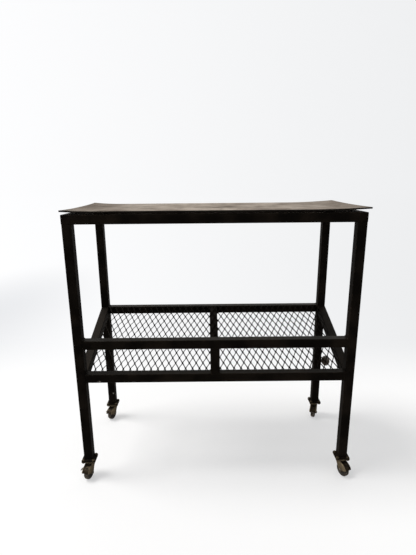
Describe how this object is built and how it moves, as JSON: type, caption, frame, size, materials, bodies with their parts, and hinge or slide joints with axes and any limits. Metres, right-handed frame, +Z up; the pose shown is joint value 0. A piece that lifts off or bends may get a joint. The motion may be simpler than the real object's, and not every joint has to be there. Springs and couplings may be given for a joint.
{
  "type": "serving cart",
  "caption": "Narrow serving cart with a welded square-tube frame, a flat steel top, a sloping expanded-metal shelf fenced at the front, and swivel casters with brakes.",
  "frame": {"origin": "on the floor, under the middle of the cart's own footprint, casters and knob included", "axes": "+X along the length to the right as seen from the front, +Y from the guard rail side to the back, +Z up"},
  "size_m": [1.0442, 0.4462, 1.002],
  "materials": {
    "frame_steel": "thin satin near-black coat over mill-scaled steel",
    "sheet_steel": "grey-brown waxed hot-rolled sheet with a soft patina",
    "expanded_steel": "satin near-black coat on expanded steel",
    "caster_steel": "dark bronze-black coat, worn lighter on edges",
    "bright_steel": "dulled plain steel pins and screws",
    "wheel_plastic": "worn dark brown-black tread",
    "knob_plastic": "dark brown moulded knob with a soft gloss"
  },
  "bodies": {
    "frame": {"top_sheet": "sheet_steel", "top_front_rail": "frame_steel", "top_back_rail": "frame_steel", "top_left_rail": "frame_steel", "top_right_rail": "frame_steel", "leg_front_left": "frame_steel", "leg_front_right": "frame_steel", "leg_back_left": "frame_steel", "leg_back_right": "frame_steel", "guard_rail": "frame_steel", "guard_post": "frame_steel", "lower_front_rail": "frame_steel", "shelf_back_rail": "frame_steel", "shelf_left_bar": "frame_steel", "shelf_centre_bar": "frame_steel", "shelf_right_bar": "frame_steel", "shelf_mesh": "expanded_steel", "sheet_block_front_left": "frame_steel", "sheet_block_front_right": "frame_steel", "sheet_block_back_left": "frame_steel", "sheet_block_back_right": "frame_steel", "foot_plate_front_left": "frame_steel", "foot_plate_front_right": "frame_steel", "foot_plate_back_left": "frame_steel", "foot_plate_back_right": "frame_steel", "caster_plate_front_left": "caster_steel", "caster_plate_front_right": "caster_steel", "caster_plate_back_left": "caster_steel", "caster_plate_back_right": "caster_steel", "swivel_race_front_left": "caster_steel", "swivel_race_front_right": "caster_steel", "swivel_race_back_left": "caster_steel", "swivel_race_back_right": "caster_steel", "kingpin_front_left": "bright_steel", "kingpin_front_right": "bright_steel", "kingpin_back_left": "bright_steel", "kingpin_back_right": "bright_steel", "pull_knob": "knob_plastic", "knob_screw": "bright_steel"},
    "caster_front_left": {"fork_front_left": "caster_steel", "axle_front_left": "bright_steel"},
    "caster_front_right": {"fork_front_right": "caster_steel", "axle_front_right": "bright_steel"},
    "caster_back_left": {"fork_back_left": "caster_steel", "axle_back_left": "bright_steel"},
    "caster_back_right": {"fork_back_right": "caster_steel", "axle_back_right": "bright_steel"},
    "roller_front_left": {"wheel_front_left": "wheel_plastic"},
    "roller_front_right": {"wheel_front_right": "wheel_plastic"},
    "roller_back_left": {"wheel_back_left": "wheel_plastic"},
    "roller_back_right": {"wheel_back_right": "wheel_plastic"},
    "pedal_front_left": {"brake_pedal_front_left": "caster_steel"},
    "pedal_front_right": {"brake_pedal_front_right": "caster_steel"},
    "pedal_back_left": {"brake_pedal_back_left": "caster_steel"}
  },
  "joints": [
    {"name": "swivel_front_left", "type": "hinge", "parent": "frame", "child": "caster_front_left", "pos_m": [-0.48435, -0.17814, 0.06], "axis": [0, 0, 1], "continuous": true},
    {"name": "swivel_front_right", "type": "hinge", "parent": "frame", "child": "caster_front_right", "pos_m": [0.4639, -0.17814, 0.06], "axis": [0, 0, 1], "continuous": true},
    {"name": "swivel_back_left", "type": "hinge", "parent": "frame", "child": "caster_back_left", "pos_m": [-0.48435, 0.20011, 0.06], "axis": [0, 0, 1], "continuous": true},
    {"name": "swivel_back_right", "type": "hinge", "parent": "frame", "child": "caster_back_right", "pos_m": [0.4639, 0.20011, 0.06], "axis": [0, 0, 1], "continuous": true},
    {"name": "roll_front_left", "type": "hinge", "parent": "caster_front_left", "child": "roller_front_left", "pos_m": [-0.48727, -0.19183, 0.025], "axis": [0.9781, -0.2079, 0], "continuous": true},
    {"name": "roll_front_right", "type": "hinge", "parent": "caster_front_right", "child": "roller_front_right", "pos_m": [0.46959, -0.19093, 0.025], "axis": [0.9135, 0.4067, 0], "continuous": true},
    {"name": "roll_back_left", "type": "hinge", "parent": "caster_back_left", "child": "roller_back_left", "pos_m": [-0.48914, 0.18696, 0.025], "axis": [0.9397, -0.342, 0], "continuous": true},
    {"name": "roll_back_right", "type": "hinge", "parent": "caster_back_right", "child": "roller_back_right", "pos_m": [0.45865, 0.18713, 0.025], "axis": [0.9272, -0.3746, 0], "continuous": true},
    {"name": "brake_front_left", "type": "hinge", "parent": "caster_front_left", "child": "pedal_front_left", "pos_m": [-0.48727, -0.19183, 0.025], "axis": [-0.9781, 0.2079, 0], "range_deg": [0, 30]},
    {"name": "brake_front_right", "type": "hinge", "parent": "caster_front_right", "child": "pedal_front_right", "pos_m": [0.46959, -0.19093, 0.025], "axis": [-0.9135, -0.4067, 0], "range_deg": [0, 30]},
    {"name": "brake_back_left", "type": "hinge", "parent": "caster_back_left", "child": "pedal_back_left", "pos_m": [-0.48914, 0.18696, 0.025], "axis": [-0.9397, 0.342, 0], "range_deg": [0, 30]}
  ]
}
